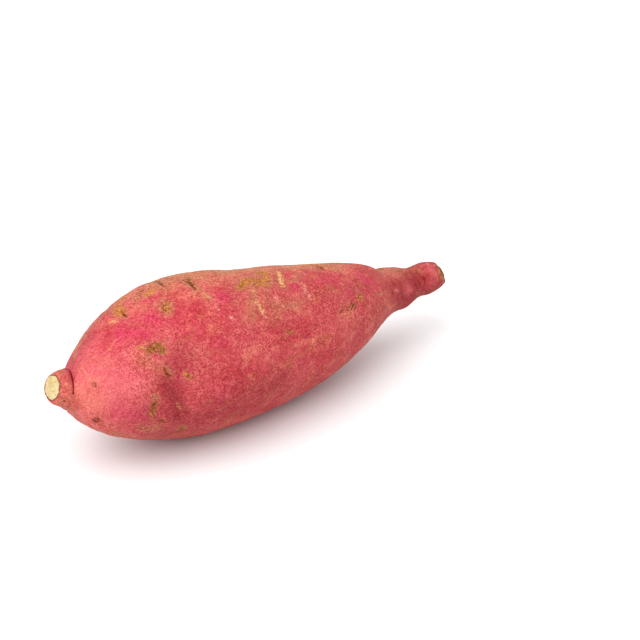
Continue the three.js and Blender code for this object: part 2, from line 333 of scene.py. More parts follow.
skinMarks["tan"] = {  # thin dust and worn skin; the strokes along the left and lower edges are painted sheen, the one at the far top painted shade
    "dustyUnder": (5, 0.6, (138, 362), (146, 362.5), (156, 366)),
    "shoulderScarGround": (4, 0.8, (135, 298), (139, 294), (143, 291)),
    "shoulderVeil": (5, 0.55, (119, 303), (135, 294), (152, 288), (168, 281)),
    "topScarGround": (4, 0.7, (157, 283), (165, 288)),
    "rootStreakVeil": (4.4, 0.8, (183, 278), (190, 283), (195.5, 290)),
    "squareEye": (3.4, 1.15, (164.5, 304.5), (169, 305.5), (169, 311), (164.5, 310.5)),
    "squareEyeSide": (4.6, 0.6, (160, 305), (166, 303), (170, 309)),
    "smallCrust": (3.2, 0.7, (203.5, 294.5), (209.5, 298)),
    "pitGround": (2.6, 0.75, (166, 367), (170, 376)),
    "longScarTop": (3, 0.9, (155.4, 397), (154.8, 404)),
    "bellyPatch": (4, 0.75, (140, 428), (148, 430), (156, 427)),
    "ringEye": (2.6, 0.75, (92.6, 384), (95.4, 386)),
    "lowPatch": (2.6, 0.9, (112, 433), (118, 435.5)),
    "neckFoot": (1.6, 0.7, (63.5, 400.5), (68, 402)),
    "neckUnder": (2.2, 1, (60, 404.4), (66, 408), (74, 415)),
    "stemTop": (1.8, 1, (50.5, 376.4), (54, 373.6), (60, 371.8)),
    "bandVeil": (5.5, 0.8, (240, 285), (252, 283), (270, 282)),
    "bandTail": (3.2, 1, (250, 287), (254, 294), (256.5, 301)),
    "scrapeVeil": (3.8, 0.75, (277, 271), (280, 277), (283, 287)),
    "fleckThreeVeil": (3.8, 0.8, (255, 300), (260, 306), (263, 313)),
    "fleckSevenVeil": (3.2, 0.65, (302, 284), (306, 291), (309, 297)),
    "ringArc": (1.7, 0.9, (287.5, 280.5), (293, 281.4), (299, 280), (301, 276.6), (298, 273)),
    "dustyMiddle": (7, 0.7, (250, 296), (256, 308), (252, 316)),
    "dustyFar": (7, 0.75, (268, 304), (285, 306), (300, 304)),
    "ridge": (1.8, 0.7, (214, 273), (221, 272.5)),
    "upperSpot": (2.2, 0.75, (293, 276), (297, 279)),
    "farTopShade": (3.4, 1, (322, 265.4), (333, 265.8), (341, 266.4)),
    "farLine": (1.2, 0.55, (344, 279.5), (357, 277)),
    "farRingTop": (2, 0.8, (357, 290), (360, 292.5)),
    "tailLow": (2, 0.6, (375.5, 295.6), (380, 294.4), (387.5, 291.6)),
    "tailTop": (3, 0.85, (383, 268.8), (392, 269.2), (404, 270)),
    "tailTopVeil": (4.5, 0.6, (380, 272), (388, 275), (399, 274)),
    "knob": (3, 0.7, (414, 267.6), (418, 269.4), (421, 272)),
    "knobRim": (2.4, 0.6, (439, 272), (441.4, 277)),
    "lowEdgeSheen": (6, 0.5, (60, 404), (77, 419.5), (100, 431), (130, 437)),
    "bellyEdgeSheen": (5, 0.45, (130, 436), (160, 438), (185, 436)),
    "shoulderEdgeSheen": (3, 0.8, (73.5, 356), (83, 337), (99, 317), (115, 303.5)),
    "leftEdgeSheen": (3, 0.6, (76, 352), (84, 338)),
    "bandSide": (6, 0.5, (228, 284), (236, 302)),
    "far": (10, 0.6, (264, 290), (276, 318)),
}
skinMarks["magenta"] = {  # the reddest skin
    "bigEyeUnder": (2, 1, (153, 356.5), (158.5, 357)),
    "upperSpot": (2.2, 0.85, (285.5, 275), (291, 274.5)),
    "lowerSpot": (2.8, 1, (291.5, 284.5), (296.5, 285.5)),
    "knob": (3, 0.3, (424.5, 269.5), (428, 271.5)),
    "knobLow": (1.6, 0.8, (429.6, 287.4), (431.4, 288.6)),
    "shoulder": (9, 0.8, (118, 333), (134, 333), (147, 336)),
    "shoulderTop": (6, 0.8, (147, 321), (158, 318)),
    "squareEyeUnder": (4, 0.6, (166, 319), (172, 318)),
    "middle": (8, 0.75, (214, 300), (228, 295)),
    "far": (6, 0.55, (300, 281), (330, 280), (352, 284)),
    "middleLow": (8, 0.4, (180, 318), (184, 338)),
    "low": (11, 0.75, (116, 410), (126, 412), (140, 416)),
    "lobe": (5, 0.6, (358, 276), (370, 282)),
    "lobeLow": (7, 0.5, (346, 292), (362, 290), (378, 291)),
}
skinMarks["crimsonAndShade"] = {  # deep red skin, and painted shade in folds and dimples; the broad side patch is a painted shadow
    "midCluster": (1.6, 0.6, (213.5, 332), (219, 334)),
    "midStreak": (1.8, 0.8, (314, 325), (321, 323.5)),
    "tailDarkOne": (2.2, 0.7, (391.5, 283), (394.5, 285.4)),
    "tailDarkTwo": (1.2, 0.95, (392, 291), (392.8, 294.4)),
    "tailDarkThree": (1.4, 0.85, (397.4, 296.6), (398.8, 301)),
    "tailDarkFour": (1.6, 0.75, (401, 293.4), (404.2, 299.8)),
    "tailDarkFive": (1.6, 0.85, (411, 294), (413, 298.6)),
    "tailDarkSix": (1.4, 0.55, (388, 287.6), (390.6, 286)),
    "tailFoldUp": (1, 0.6, (417, 273.5), (420, 275), (423.6, 278.5)),
    "tailFoldDown": (1, 0.6, (424.8, 284), (422, 290)),
    "knobStreakLow": (1.2, 0.85, (414.6, 283), (417, 287.8)),
    "knobStreakSide": (1.2, 0.85, (418.4, 282.4), (420.8, 288)),
    "side": (10, 0.8, (166, 386), (176, 398), (178, 416)),
}
skinMarks["salmonAndHighlight"] = {  # fresh smooth skin, and a painted highlight on the stem's bulge and the knob
    "stemBulge": (20, 1, (92, 376), (106, 384), (124, 386)),
    "stemBulgeTop": (12, 0.5, (100, 352), (112, 368)),
    "knob": (6, 0.64, (428, 267), (432, 274), (432, 283)),
    "knobHighlight": (3, 0.65, (420, 267), (426, 265.6), (432, 265.8)),
    "tail": (4.5, 0.85, (407, 281), (409, 290)),
}
skinMarks["peachAndHighlight"] = {  # lighter skin, and a painted highlight on the stem's bulge and the knob
    "knob": (3, 0.6, (435, 274), (437, 281)),
    "tail": (4.5, 0.75, (394, 274), (402, 275), (408, 277)),
    "stem": (12, 0.8, (77, 394), (84, 405), (96, 400)),
    "stemTop": (10, 0.6, (82, 372), (98, 386)),
    "middle": (9, 0.65, (186, 296), (200, 292), (212, 308)),
}
skinMarks["shade"] = {  # painted shade: darker skin where shade falls, on the underside, along the left edge, at the far top and under the knob
    "tail": (4, 0.75, (414, 297), (420, 293), (428, 290)),
    "left": (8, 1, (72, 362), (78, 348), (88, 334)),
    "shoulder": (8, 0.9, (96, 321), (110, 309)),
    "far": (4, 0.9, (320, 262.8), (348, 263.4)),
    "lobe": (9, 0.5, (330, 294), (345, 292), (366, 288)),
    "side": (13, 0.85, (150, 418), (166, 404), (174, 384), (180, 356)),
    "belly": (12, 1, (158, 431), (172, 429), (220, 412), (280, 382)),
}
skinMarks["smooth"] = {  # skin with little grain
    "knob": (8, 1, (427, 268), (433, 274), (434, 284)),
    "tail": (14, 0.85, (374, 284), (395, 284), (416, 281)),
    "lobe": (5, 0.7, (360, 276), (370, 282)),
    "stem": (20, 0.9, (88, 362), (100, 372), (116, 384), (104, 396), (86, 392)),
}
skinMarks["crease"] = {  # folds, darkened with painted shade
    "tailCrease": (1.1, 0.9, (423.8, 276.2), (424.6, 279.4), (425.1, 282.4)),
    "neckCrease": (1.3, 1, (66.8, 368.6), (70.6, 371.8), (72.6, 379), (73.3, 386)),
    "neckCreaseEnd": (1, 0.8, (73.3, 386), (73.2, 394)),
}


def photoCast(piece, pixel):
    half = photoView["picture"] / 2
    focal = photoView["picture"] * photoView["lens"] / photoView["sensor"]
    ray = camera.matrix_world.to_3x3() @ Vector((pixel[0] - half, half - pixel[1], -focal))
    hit, place, _, _ = piece.ray_cast(camera.location, ray.normalized())
    return np.array(place) if hit else None


def photoPath(piece, pixels):
    places = [photoCast(piece, pixel) for pixel in pixels]
    return [place for place in places if place is not None]


def asideFrom(points, start, end):
    span = end - start
    share = np.clip((points - start) @ span / max(span @ span, 1e-12), 0, 1)
    return points - start - share[:, None] * span


def strokeMask(points, path, width):
    nearest = np.full(len(points), np.inf)
    for start, end in zip(path, path[1:] or path):
        gap = np.linalg.norm(asideFrom(points, start, end), axis=1)
        nearest = np.minimum(nearest, gap)
    return np.exp2(-2 * nearest / width)  # a half at the edge of the stroke, then a thin halo


# below zero on one side of the path, so that a line drawn from it stays sharp between vertices
def signedGap(points, path, sideways):
    nearest = np.full(len(points), np.inf)
    signed = np.full(len(points), np.inf)
    for start, end in zip(path, path[1:]):
        aside = asideFrom(points, start, end)
        gap = np.linalg.norm(aside, axis=1)
        closer = gap < nearest
        nearest[closer] = gap[closer]
        signed[closer] = (np.sign(aside @ sideways) * gap)[closer]
    return signed


def centreLine(points, step=2 * mm):
    places = np.arange(points[:, 0].min() + step, points[:, 0].max() - step, step)
    middles = []
    for place in places:
        ring = points[np.abs(points[:, 0] - place) < step]
        middles.append((ring.min(axis=0) + ring.max(axis=0)) / 2)
    return places, np.array(middles)


def middleOf(x, line):
    places, middles = line
    return np.interp(x, places, middles[:, 1]), np.interp(x, places, middles[:, 2])


# marks on the sides that the photo doesn't show
hiddenMarks = {
    "seed": 7,
    "count": 90,
    "patchCount": 14,
    "fromX": -84 * mm,
    "toX": 84 * mm,
    "fromAround": 150,  # degrees round the root, 0 is the top and 90 the front
    "toAround": 322,
    "outside": 60 * mm,  # how far from the middle of the root its skin is looked for
    "kinds": ["ochre", "ochre", "olive", "brown", "brown", "pale", "pale", "tan", "crimsonAndShade"],
    "patchKinds": ["magenta", "magenta", "salmonAndHighlight", "crimsonAndShade"],
    "length": (1.5, 6),  # mm
    "width": (0.7, 2.6),  # mm
    "strength": (0.6, 1),
    "patchLength": (8, 26),  # mm
    "patchWidth": (8, 16),  # mm
    "lean": 35,  # degrees, how far a mark may lean from straight across the root
    "leastRadius": 5 * mm,  # the root is taken to be no thinner when a mark is bent round it
}


def hiddenStrokes(piece, line, marks):
    draw = random.Random(marks["seed"])
    strokes = []

    def castRound(x, around):
        turn = math.radians(around)
        outward = Vector((0, -math.sin(turn), math.cos(turn)))
        middle = Vector((x, *middleOf(x, line)))
        hit, place, _, _ = piece.ray_cast(middle + outward * marks["outside"], -outward)
        return np.array(place) if hit else None

    def addStroke(kinds, lengths, widths):
        kind = draw.choice(kinds)
        x = draw.uniform(marks["fromX"], marks["toX"])
        around = draw.uniform(marks["fromAround"], marks["toAround"])
        length = draw.uniform(*lengths) * mm
        width = draw.uniform(*widths)
        strength = draw.uniform(*marks["strength"])
        lean = math.radians(draw.uniform(-marks["lean"], marks["lean"]))
        first = castRound(x, around)
        radius = max(np.linalg.norm(first - (x, *middleOf(x, line))), marks["leastRadius"])
        turn = math.degrees(length * math.cos(lean) / radius)
        second = castRound(x + length * math.sin(lean), around + turn)
        if second is not None:
            strokes.append((kind, [first, second], width, strength))

    for _ in range(marks["count"]):
        addStroke(marks["kinds"], marks["length"], marks["width"])
    for _ in range(marks["patchCount"]):
        addStroke(marks["patchKinds"], marks["patchLength"], marks["patchWidth"])
    return strokes


# distances along the line of sight count for less, so that marks keep their width at the edge of the root
depthShare = 0.35


def squeezeDepth(points):
    back = np.array(camera.matrix_world.to_3x3().col[2])
    return points - (1 - depthShare) * np.outer(points @ back, back)


# strokes wander as if drawn by hand
strokeWobble = {"seed": 5, "size": 2.6 * mm, "reach": 0.6 * mm, "widthShare": 0.4}


def wobble(points, amount):
    noise.seed_set(amount["seed"])
    return np.array([noise.noise_vector(Vector(point) / amount["size"]) for point in points])


def photoStrokes(piece):
    strokes = []
    for kind, marks in skinMarks.items():
        for width, strength, *pixels in marks.values():
            path = photoPath(piece, pixels)
            if path:
                strokes.append((kind, list(squeezeDepth(np.array(path))), width, strength))
    return strokes


def drawMarks(points, strokes):
    shifts = wobble(points, strokeWobble)
    masks = {kind: np.zeros(len(points)) for kind in skinMarks}
    for kind, path, width, strength in strokes:
        reach = min(strokeWobble["reach"], strokeWobble["widthShare"] * width * mm)
        wandering = points if kind == "crease" else points + reach * shifts
        mask = strength * strokeMask(wandering, path, width * mm)
        masks[kind] = np.maximum(masks[kind], mask)
    return masks


# the seen side is split finer, and the faces under its marks once more
finerFaces = {
    "seenFrom": -60,  # degrees round the root, 0 is the top and 90 the front
    "seenTo": 165,
    "seenFade": 27,
    "kinds": ["brown", "umber", "olive", "ochre", "pale", "crease"],
    "level": 0.2,
}


def aroundRoot(points, line):
    middleY, middleZ = middleOf(points[:, 0], line)
    return np.degrees(np.arctan2(middleY - points[:, 1], points[:, 2] - middleZ))


def seenShare(around, faces):
    rise = smoothStep(around, faces["seenFrom"], faces["seenFrom"] + faces["seenFade"])
    fall = smoothStep(around, faces["seenTo"] - faces["seenFade"], faces["seenTo"])
    return rise * (1 - fall)


def strongestMark(masks, faces):
    return np.max([masks[kind] for kind in faces["kinds"]], axis=0)


def splitFaces(piece, values, level, roundness):
    corners = np.empty(len(piece.data.loops), np.int32)
    piece.data.loops.foreach_get("vertex_index", corners)
    starts = np.empty(len(piece.data.polygons), np.int32)
    piece.data.polygons.foreach_get("loop_start", starts)
    bpy.ops.object.mode_set(mode="EDIT")
    bpy.ops.mesh.select_mode(type="FACE")
    bpy.ops.mesh.select_all(action="DESELECT")
    bpy.ops.object.mode_set(mode="OBJECT")
    piece.data.polygons.foreach_set("select", np.maximum.reduceat(values[corners], starts) > level)
    bpy.ops.object.mode_set(mode="EDIT")
    bpy.ops.mesh.subdivide(number_cuts=1, smoothness=roundness)
    bpy.ops.object.mode_set(mode="OBJECT")
    print("split to", len(piece.data.polygons), "faces")


# how deep the eyes of the solid lie under the smooth skin around them
eyeDepth = {"rounds": 25, "shallow": 0.12 * mm, "deep": 0.45 * mm, "fades": (-86 * mm, -78 * mm)}


def hollowMask(piece, points, normals, depth):
    edges = np.empty(len(piece.data.edges) * 2, np.int32)
    piece.data.edges.foreach_get("vertices", edges)
    start, end = edges.reshape(-1, 2).T
    count = np.bincount(start, minlength=len(points)) + np.bincount(end, minlength=len(points))
    smooth = points.copy()
    for _ in range(depth["rounds"]):
        total = np.empty_like(smooth)
        for axis in range(3):
            total[:, axis] = np.bincount(start, smooth[end, axis], len(points))
            total[:, axis] += np.bincount(end, smooth[start, axis], len(points))
        smooth = total / count[:, None]
    sunk = ((smooth - points) * normals).sum(axis=1)
    return smoothStep(sunk, depth["shallow"], depth["deep"])


# where the stem was cut and where the tail broke off
endCuts = {
    "stemFace": (-0.95, 0, 0.32),  # the way that the stem cut faces
    "stemCentre": (-104.4, -0.2, 40.8),  # mm, the middle of the cut
    "stemFrom": -98 * mm,
    "tailFace": (0.88, -0.29, 0.37),
    "tailCentre": (102.9, 0.9, 25.5),
    "tailFrom": 92 * mm,
    "far": 30,  # mm, stands for anywhere but at the end
}


def endRadius(points, face, centre, atEnd):
    face = np.array(face) / np.linalg.norm(face)
    reach = points @ face
    out = points - np.array(centre) * mm
    aside = out - (out @ face)[:, None] * face
    radius = np.linalg.norm(aside, axis=1) / mm
    return np.where(atEnd, radius, endCuts["far"]), (reach[atEnd].max() - reach) / mm


leastWeight = 0.02  # fainter vertices stay out of a vertex group


def groupMask(piece, name, values):
    group = piece.vertex_groups.new(name=name)
    for index in np.flatnonzero(values > leastWeight):
        group.add([int(index)], float(values[index]), "REPLACE")


# relief of the marks, in mm: below zero is cut in, and rough ones also break up into crumbs
markRelief = {
    "crease": -0.2,
    "brown": -0.3,
    "umber": -0.15,
    "olive": -0.12,
    "ochre": 0.16,
    "tan": 0.06,
    "pale": -0.08,
    "edge": (0.25, 0.75),  # between which strengths of a mark its relief rises to the full height
    "roughKinds": ["ochre", "olive", "brown", "tan"],
    "roughEdge": (0.2, 0.7),
    "crumbSize": 1.4 * mm,
    "crumbHeight": 0.45 * mm,
}


def reliefMarks(piece, masks, relief):
    for kind, height in relief.items():
        if kind in masks:
            groupMask(piece, kind, smoothStep(masks[kind], *relief["edge"]))
            displace(piece, kind, height * mm, group=kind)
    rough = np.max([masks[kind] for kind in relief["roughKinds"]], axis=0)
    groupMask(piece, "crumbs", smoothStep(rough, *relief["roughEdge"]))
    clouds = cloudTexture("crumbs", relief["crumbSize"], depth=3)
    displace(piece, "crumbs", relief["crumbHeight"], clouds, group="crumbs")
    piece.vertex_groups.clear()


# where the neck runs into the shoulder below, and at the rim of the tail, the skin is filled and smoothed:
# name, the photo's pixels, width in mm, and the height of a fill in mm
softPlaces = {
    "fills": [
        ("neckCorner", [(65, 407.5), (68.5, 410.5)], 2.2, 0.65),
        ("tailShoulder", [(439, 268.5), (441, 271.5), (442.5, 275)], 1.8, 0.45),
    ],
    "strokes": [
        ("neckFoot", [(62, 405), (68, 409.5), (73, 415), (79, 420)], 3.4),
        ("tailRim", [(440, 269), (443.5, 276), (444, 281), (441, 285)], 1.2),
    ],
    "edge": (0.25, 0.7),  # between which strengths of a stroke it takes full hold
    "factor": 0.5,
    "rounds": 14,
}


def photoMask(piece, pixels, width, edge):
    points = squeezeDepth(readVertices(piece))
    path = list(squeezeDepth(np.array(photoPath(piece, pixels))))
    return smoothStep(strokeMask(points, path, width * mm), *edge)


def softenSkin(piece, places):
    for name, pixels, width, height in places["fills"]:
        groupMask(piece, name, photoMask(piece, pixels, width, places["edge"]))
        displace(piece, name, height * mm, group=name)
    soft = np.zeros(len(piece.data.vertices))
    for _, pixels, width in places["strokes"]:
        soft = np.maximum(soft, photoMask(piece, pixels, width, places["edge"]))
    groupMask(piece, "soft", soft)
    smooth = piece.modifiers.new("soft", "SMOOTH")
    smooth.factor = places["factor"]
    smooth.iterations = places["rounds"]
    smooth.vertex_group = "soft"
    applyModifier(piece, smooth)
    piece.vertex_groups.clear()


def layFlat(piece):
    points = readVertices(piece)
    points[:, 2] = np.maximum(points[:, 2], 0)  # nothing sinks into the floor
    piece.data.vertices.foreach_set("co", points.ravel())
    piece.data.update()


# a tan veil lies along the top of the root: partly dried soil, partly a painted sheen along the top edge
dustAndSheenPlace = {
    "around": -22,  # degrees round the root, 0 is the top and 90 the front
    "spread": 34,
    "spreadBehind": 36,
    "fades": (-80 * mm, -35 * mm),  # it sets in between these places along the root
    "thins": (36 * mm, 52 * mm),  # and thins out between these, to a share of itself at the tail
    "tailShare": 0.4,
    "patchy": (-54, -30),  # degrees, towards the hidden side it breaks up into patches
    "patches": {"seed": 9, "size": 12 * mm},
    "patchEdge": (-0.15, 0.45),
    "hiddenShare": 0.6,  # how strong it is on the hidden side
}


def dustAndSheenMask(points, around, place):
    spread = np.where(around < place["around"], place["spreadBehind"], place["spread"])
    dustAndSheen = np.exp(-(((around - place["around"]) / spread) ** 2))
    dustAndSheen *= smoothStep(points[:, 0], *place["fades"])
    dustAndSheen *= 1 - (1 - place["tailShare"]) * smoothStep(points[:, 0], *place["thins"])
    patches = smoothStep(wobble(points, place["patches"])[:, 0], *place["patchEdge"])
    seenPart = smoothStep(around, *place["patchy"])
    return dustAndSheen * (seenPart + (1 - seenPart) * patches * place["hiddenShare"])


# the crease at the foot of the neck, drawn as a line with two sides
neckCrease = {
    "marks": ["neckCrease", "neckCreaseEnd"],
    "sideways": (1, 0, 0),
    "reach": 9,  # mm, further off the distance isn't kept
}


softenSkin(skin, softPlaces)
points = readVertices(skin)
line = centreLine(points)

# faces are split on the seen side and under all marks, then once more under the seen marks
seenStrokes = photoStrokes(skin)
unseenStrokes = hiddenStrokes(skin, line, hiddenMarks)
seen = seenShare(aroundRoot(points, line), finerFaces)
for places, strokes in ((squeezeDepth(points), seenStrokes), (points, unseenStrokes)):
    seen = np.maximum(seen, strongestMark(drawMarks(places, strokes), finerFaces))
splitFaces(skin, seen, finerFaces["level"], roundness=1)
seenMasks = drawMarks(squeezeDepth(readVertices(skin)), seenStrokes)
splitFaces(skin, strongestMark(seenMasks, finerFaces), finerFaces["level"], roundness=0)

# masks of the marks, the eyes, both ends, the dust with its painted sheen and the crease of the neck
points = readVertices(skin)
normals = readVertices(skin, "normal")
masks = drawMarks(squeezeDepth(points), seenStrokes)
for kind, mask in drawMarks(points, unseenStrokes).items():
    masks[kind] = np.maximum(masks[kind], mask)
around = aroundRoot(points, line)
masks["eye"] = hollowMask(skin, points, normals, eyeDepth) * (1 - seenShare(around, finerFaces))
masks["eye"] *= smoothStep(points[:, 0], *eyeDepth["fades"])
for end, sign in (("stem", -1), ("tail", 1)):
    atEnd = sign * points[:, 0] > sign * endCuts[end + "From"]
    face, centre = endCuts[end + "Face"], endCuts[end + "Centre"]
    masks[end + "Radius"], masks[end + "Depth"] = endRadius(points, face, centre, atEnd)
masks["dustAndSheen"] = dustAndSheenMask(points, around, dustAndSheenPlace)
creasePixels = [pixel for name in neckCrease["marks"] for pixel in skinMarks["crease"][name][2:]]
creasePath = photoPath(skin, list(dict.fromkeys(creasePixels)))
creaseGap = signedGap(points, creasePath, np.array(neckCrease["sideways"])) / mm
masks["creaseGap"] = np.clip(creaseGap, -neckCrease["reach"], neckCrease["reach"])

reliefMarks(skin, masks, markRelief)
roughenSkin(skin, skinShape)
layFlat(skin)
for name, values in masks.items():  # the material reads them as attributes
    layer = skin.data.attributes.new(name, "FLOAT", "POINT")
    layer.data.foreach_set("value", values.astype(np.float32))
print("marks drawn:", len(seenStrokes), "seen,", len(unseenStrokes), "hidden")


class Wire:  # a socket of the material being made: maths on it adds Math nodes
    def __init__(self, tree, socket=None):
        self.tree = tree
        self.socket = socket

    def node(self, kind, settings=None, inputs=None, output=0):
        made = self.tree.nodes.new(kind)
        for name, value in (settings or {}).items():
            setattr(made, name, value)
        for name, value in (inputs or {}).items():
            if isinstance(value, Wire):
                self.tree.links.new(value.socket, made.inputs[name])
            else:
                made.inputs[name].default_value = value
        return Wire(self.tree, made.outputs[output] if made.outputs else None)

    def maths(self, operation, first, second):
        return self.node("ShaderNodeMath", {"operation": operation}, {0: first, 1: second})

    def __add__(self, other):
        return self.maths("ADD", self, other)

    def __sub__(self, other):
        return self.maths("SUBTRACT", self, other)

    def __rsub__(self, other):
        return self.maths("SUBTRACT", other, self)

    def __mul__(self, other):
        return self.maths("MULTIPLY", self, other)

    __radd__ = __add__
    __rmul__ = __mul__

    def most(self, other):
        return self.maths("MAXIMUM", self, other)

    def fade(self, edge):  # from 0 at the first value of the edge to 1 at the second
        settings = {"interpolation_type": "SMOOTHSTEP"}
        return self.node("ShaderNodeMapRange", settings, {0: self, 1: edge[0], 2: edge[1]})

    def within(self, edge):
        return 1 - self.fade(edge)

    def wander(self, clouds, amount):  # clouds move the edge to and fro
        return self + (clouds - 0.5) * amount

    def broken(self, clouds, amount):  # clouds break it up
        return self * (1 + (clouds - 0.5) * amount)

    def mixed(self, other, share):
        return self * (1 - share) + other * share

    def over(self, under, colour):  # sockets 6 and 7 of Mix are its colours
        settings = {"data_type": "RGBA"}
        return self.node("ShaderNodeMix", settings, {0: self, 6: under, 7: colour}, 2)

    def tinted(self, tint):
        return self.node("ShaderNodeVectorMath", {"operation": "MULTIPLY"}, {0: self, 1: tint})


def screenColour(red, green, blue):
    shares = [value / 255 for value in (red, green, blue)]
    light = [s / 12.92 if s <= 0.04045 else ((s + 0.055) / 1.055) ** 2.4 for s in shares]
    return (*light, 1)


# colours as they show on a screen, red, green and blue up to 255
skinColours = {
    "rose": (186, 74, 78),
    "roseDeep": (174, 50, 60),
    "roseDull": (162, 66, 60),
    # lighter skin; its marks on the stem's bulge and the knob are painted highlight
    "peachAndHighlight": (208, 110, 94),
    "magenta": (182, 46, 74),
    # fresh skin, also used as the painted highlight on the stem's bulge and the knob
    "salmonAndHighlight": (206, 94, 100),
    # painted shade, for skin where shade falls
    "shade": (142, 44, 50),
    # deep red skin, also used for painted shade in folds, in dimples and beside the neck's crease
    "crimsonAndShade": (116, 6, 16),
    # dried soil with a painted sheen, along the top of the root
    "dustAndSheen": (172, 108, 70),
    "ochre": (177, 104, 45),
    "ochreDeep": (136, 79, 24),
    "olive": (140, 86, 28),
    "oliveDeep": (94, 51, 12),
    "halo": (142, 58, 36),
    "brown": (108, 24, 6),
    "umber": (98, 46, 8),
    "pale": (204, 140, 98),
    "pink": (208, 126, 112),
    "tan": (166, 98, 74),
    "warm": (172, 100, 66),
    "cool": (186, 54, 82),
    # painted shade in the creases
    "crease": (112, 0, 4),
    "straw": (204, 183, 142),
    "strawGreen": (182, 160, 106),
    "strawSpeck": (104, 80, 40),
    "rim": (92, 70, 44),
    "neck": (182, 86, 74),
    "tailRim": (80, 50, 24),
    "tailDry": (168, 122, 80),
    "tail": (138, 26, 32),
    "sheenTint": (226, 170, 120),
}

# tints of the grain, gloss and fine bumps
skinFinish = {
    "lightTint": (1.24, 1.58, 1.54),  # what the lightest grain multiplies the colour by
    "darkTint": (0.7, 0.42, 0.44),
    "roughness": 0.6,
    "crumbRoughness": 0.12,
    "fleckRoughness": 0.06,
    "specular": 0.12,
    "sheen": 0.06,
    "sheenRoughness": 0.4,
    "bumpHeight": 0.35 * mm,
    "bumpSpecks": 0.12,
    "bumpGrain": 0.1,
    "bumpPatches": 0.4,
}

# how the colours lie on the skin; an edge gives the values between which something fades in
skinPattern = {
    # size in mm, detail, scale along the root, distortion, and a shift that makes each cloud its own
    "clouds": {
        "zones": (24, 2, 1, 0, (0, 0, 0)),
        "blotches": (12, 2, 0.8, 0.6, (7, 19, 3)),
        "mottle": (6, 2, 1, 0.6, (0, 0, 0)),
        "patches": (3.2, 1, 0.7, 0.5, (11, 3, 29)),
        "crumbs": (1.5, 3, 1, 0.8, (0, 0, 0)),
        "grain": (0.48, 1, 0.8, 0, (0, 0, 0)),
        "warmth": (7, 3, 0.7, 0.8, (41, 11, 17)),
        "specks": (1.5, 1, 0.75, 0.8, (31, 7, 13)),
        "worms": (2.4, 2, 0.8, 1, (3, 17, 5)),
        "strands": (3, 1, 0.2, 0.3, (23, 5, 41)),
        "coarse": (9, 1, 0.7, 0.5, (2, 37, 8)),
        "strawSpecks": (1.1, 2, 1, 0, (5, 3, 9)),
    },
    "contrast": 2.2,  # of every cloud
    # layers of colour from the lowest up: edge, and how much each hides of what is under it
    "layers": {
        "roseDeep": ((0.3, 0.8), 1),
        "roseDull": ((-40, 90), 0.75),  # mm along the root
        "warm": ((0.5, 1), 0.5),
        "cool": ((0.55, 1), 0.35),
        "blotches": ((0.5, 1.05), 0.45),
        "mottle": ((0.5, 1.05), 0.45),
        "patches": ((0.5, 1.05), 0.3),
        "tail": ((44, 80), 0.88),  # mm along the root
        "magenta": ((0.25, 0.8), 0.85),
        "salmonAndHighlight": ((0.1, 0.9), 0.7),
        "peachAndHighlight": ((0.2, 0.9), 0.7),
        "crimsonAndShade": ((0.25, 0.8), 0.7),
        # the dust and painted sheen along the top
        "dustAndSheen": ((0.3, 1.1), 0.8),
        # painted shade
        "shade": ((0.1, 0.9), 0.6),
        "tan": ((0.1, 0.9), 0.75),
        "veil": ((0.12, 0.6), 0.7),
        "eye": ((0.3, 0.8), 0.7),
        "ochre": ((0.3, 0.75), 0.9),
        "olive": ((0.35, 0.75), 0.85),
        "pink": ((0.28, 0.78), 0.85),
        "pale": ((0.3, 0.75), 0.9),
        "halo": ((0.2, 0.6), 0.5),
        "brown": ((0.5, 0.9), 0.85),
        "umber": ((0.4, 0.8), 0.9),
    },
    "dullWander": 60,  # mm
    # how far the mottle moves the edges of broad washes, and the crumbs break up scuffs, scars and eyes
    "mottled": {"magenta": 0.5, "salmonAndHighlight": 0.3, "peachAndHighlight": 0.3, "crimsonAndShade": 0.3, "dustAndSheen": 0.5, "shade": 0.2},
    "crumbly": {
        "tan": 0.6, "eye": 1, "ochre": 0.7, "olive": 1, "pink": 0.9, "pale": 0.8, "brown": 1, "umber": 1,
    },
    "veilBrown": 0.6,  # how far the tan veil round scuffs also lies round brown ones
    "veilSpecks": 1.4,
    "toneCrumbs": 0.4,  # share of crumbs, the rest grain, in what mixes light and deep ochre and olive
    "toneEdge": (0.1, 0.7),
    "crease": {
        "wander": 0.2,  # mm
        "creaseShadow": (0.3, 1.6),  # mm from the line of the neck's crease, where the painted shadow lies beside it
        "creaseShadowCover": 0.5,
        "line": (0.25, 0.5),  # mm
        "ends": (0.2, 0.7),
        "others": (4, 5),  # mm, beyond which a crease is no part of the neck's
        "otherEdge": (0.5, 0.9),
        "otherCover": 0.8,
    },
    "fine": {  # light and dark of the fine grain
        "flakeSize": 0.52,  # mm
        "flakeShare": 0.55,
        "worms": (0.82, 0.97),
        "wormGaps": (0.4, 0.7),
        "strands": (0.9, 0.98),
        "strandGaps": (0.4, 0.8),
        "lineShare": 0.7,
        "fleckSize": 0.75,  # mm
        "flecks": (0.86, 0.96),
        "pores": (0.88, 0.96),
        "grainShare": 1.1,
        "sparkleShare": 6,
        "crumbShare": 0.1,
        "fleckShare": 0.5,
        "poreShare": 0.2,
        "darker": 0.12,
        "calm": (0.2, 0.9),  # smooth places have less grain
        "calmShare": 0.55,
        "coarse": (0.1, 0.9),  # and coarse ones and the dust with its painted sheen have more
        "coarseLeast": 0.74,
        "coarseShare": 0.6,
        "dustAndSheenShare": 0.35,
    },
}

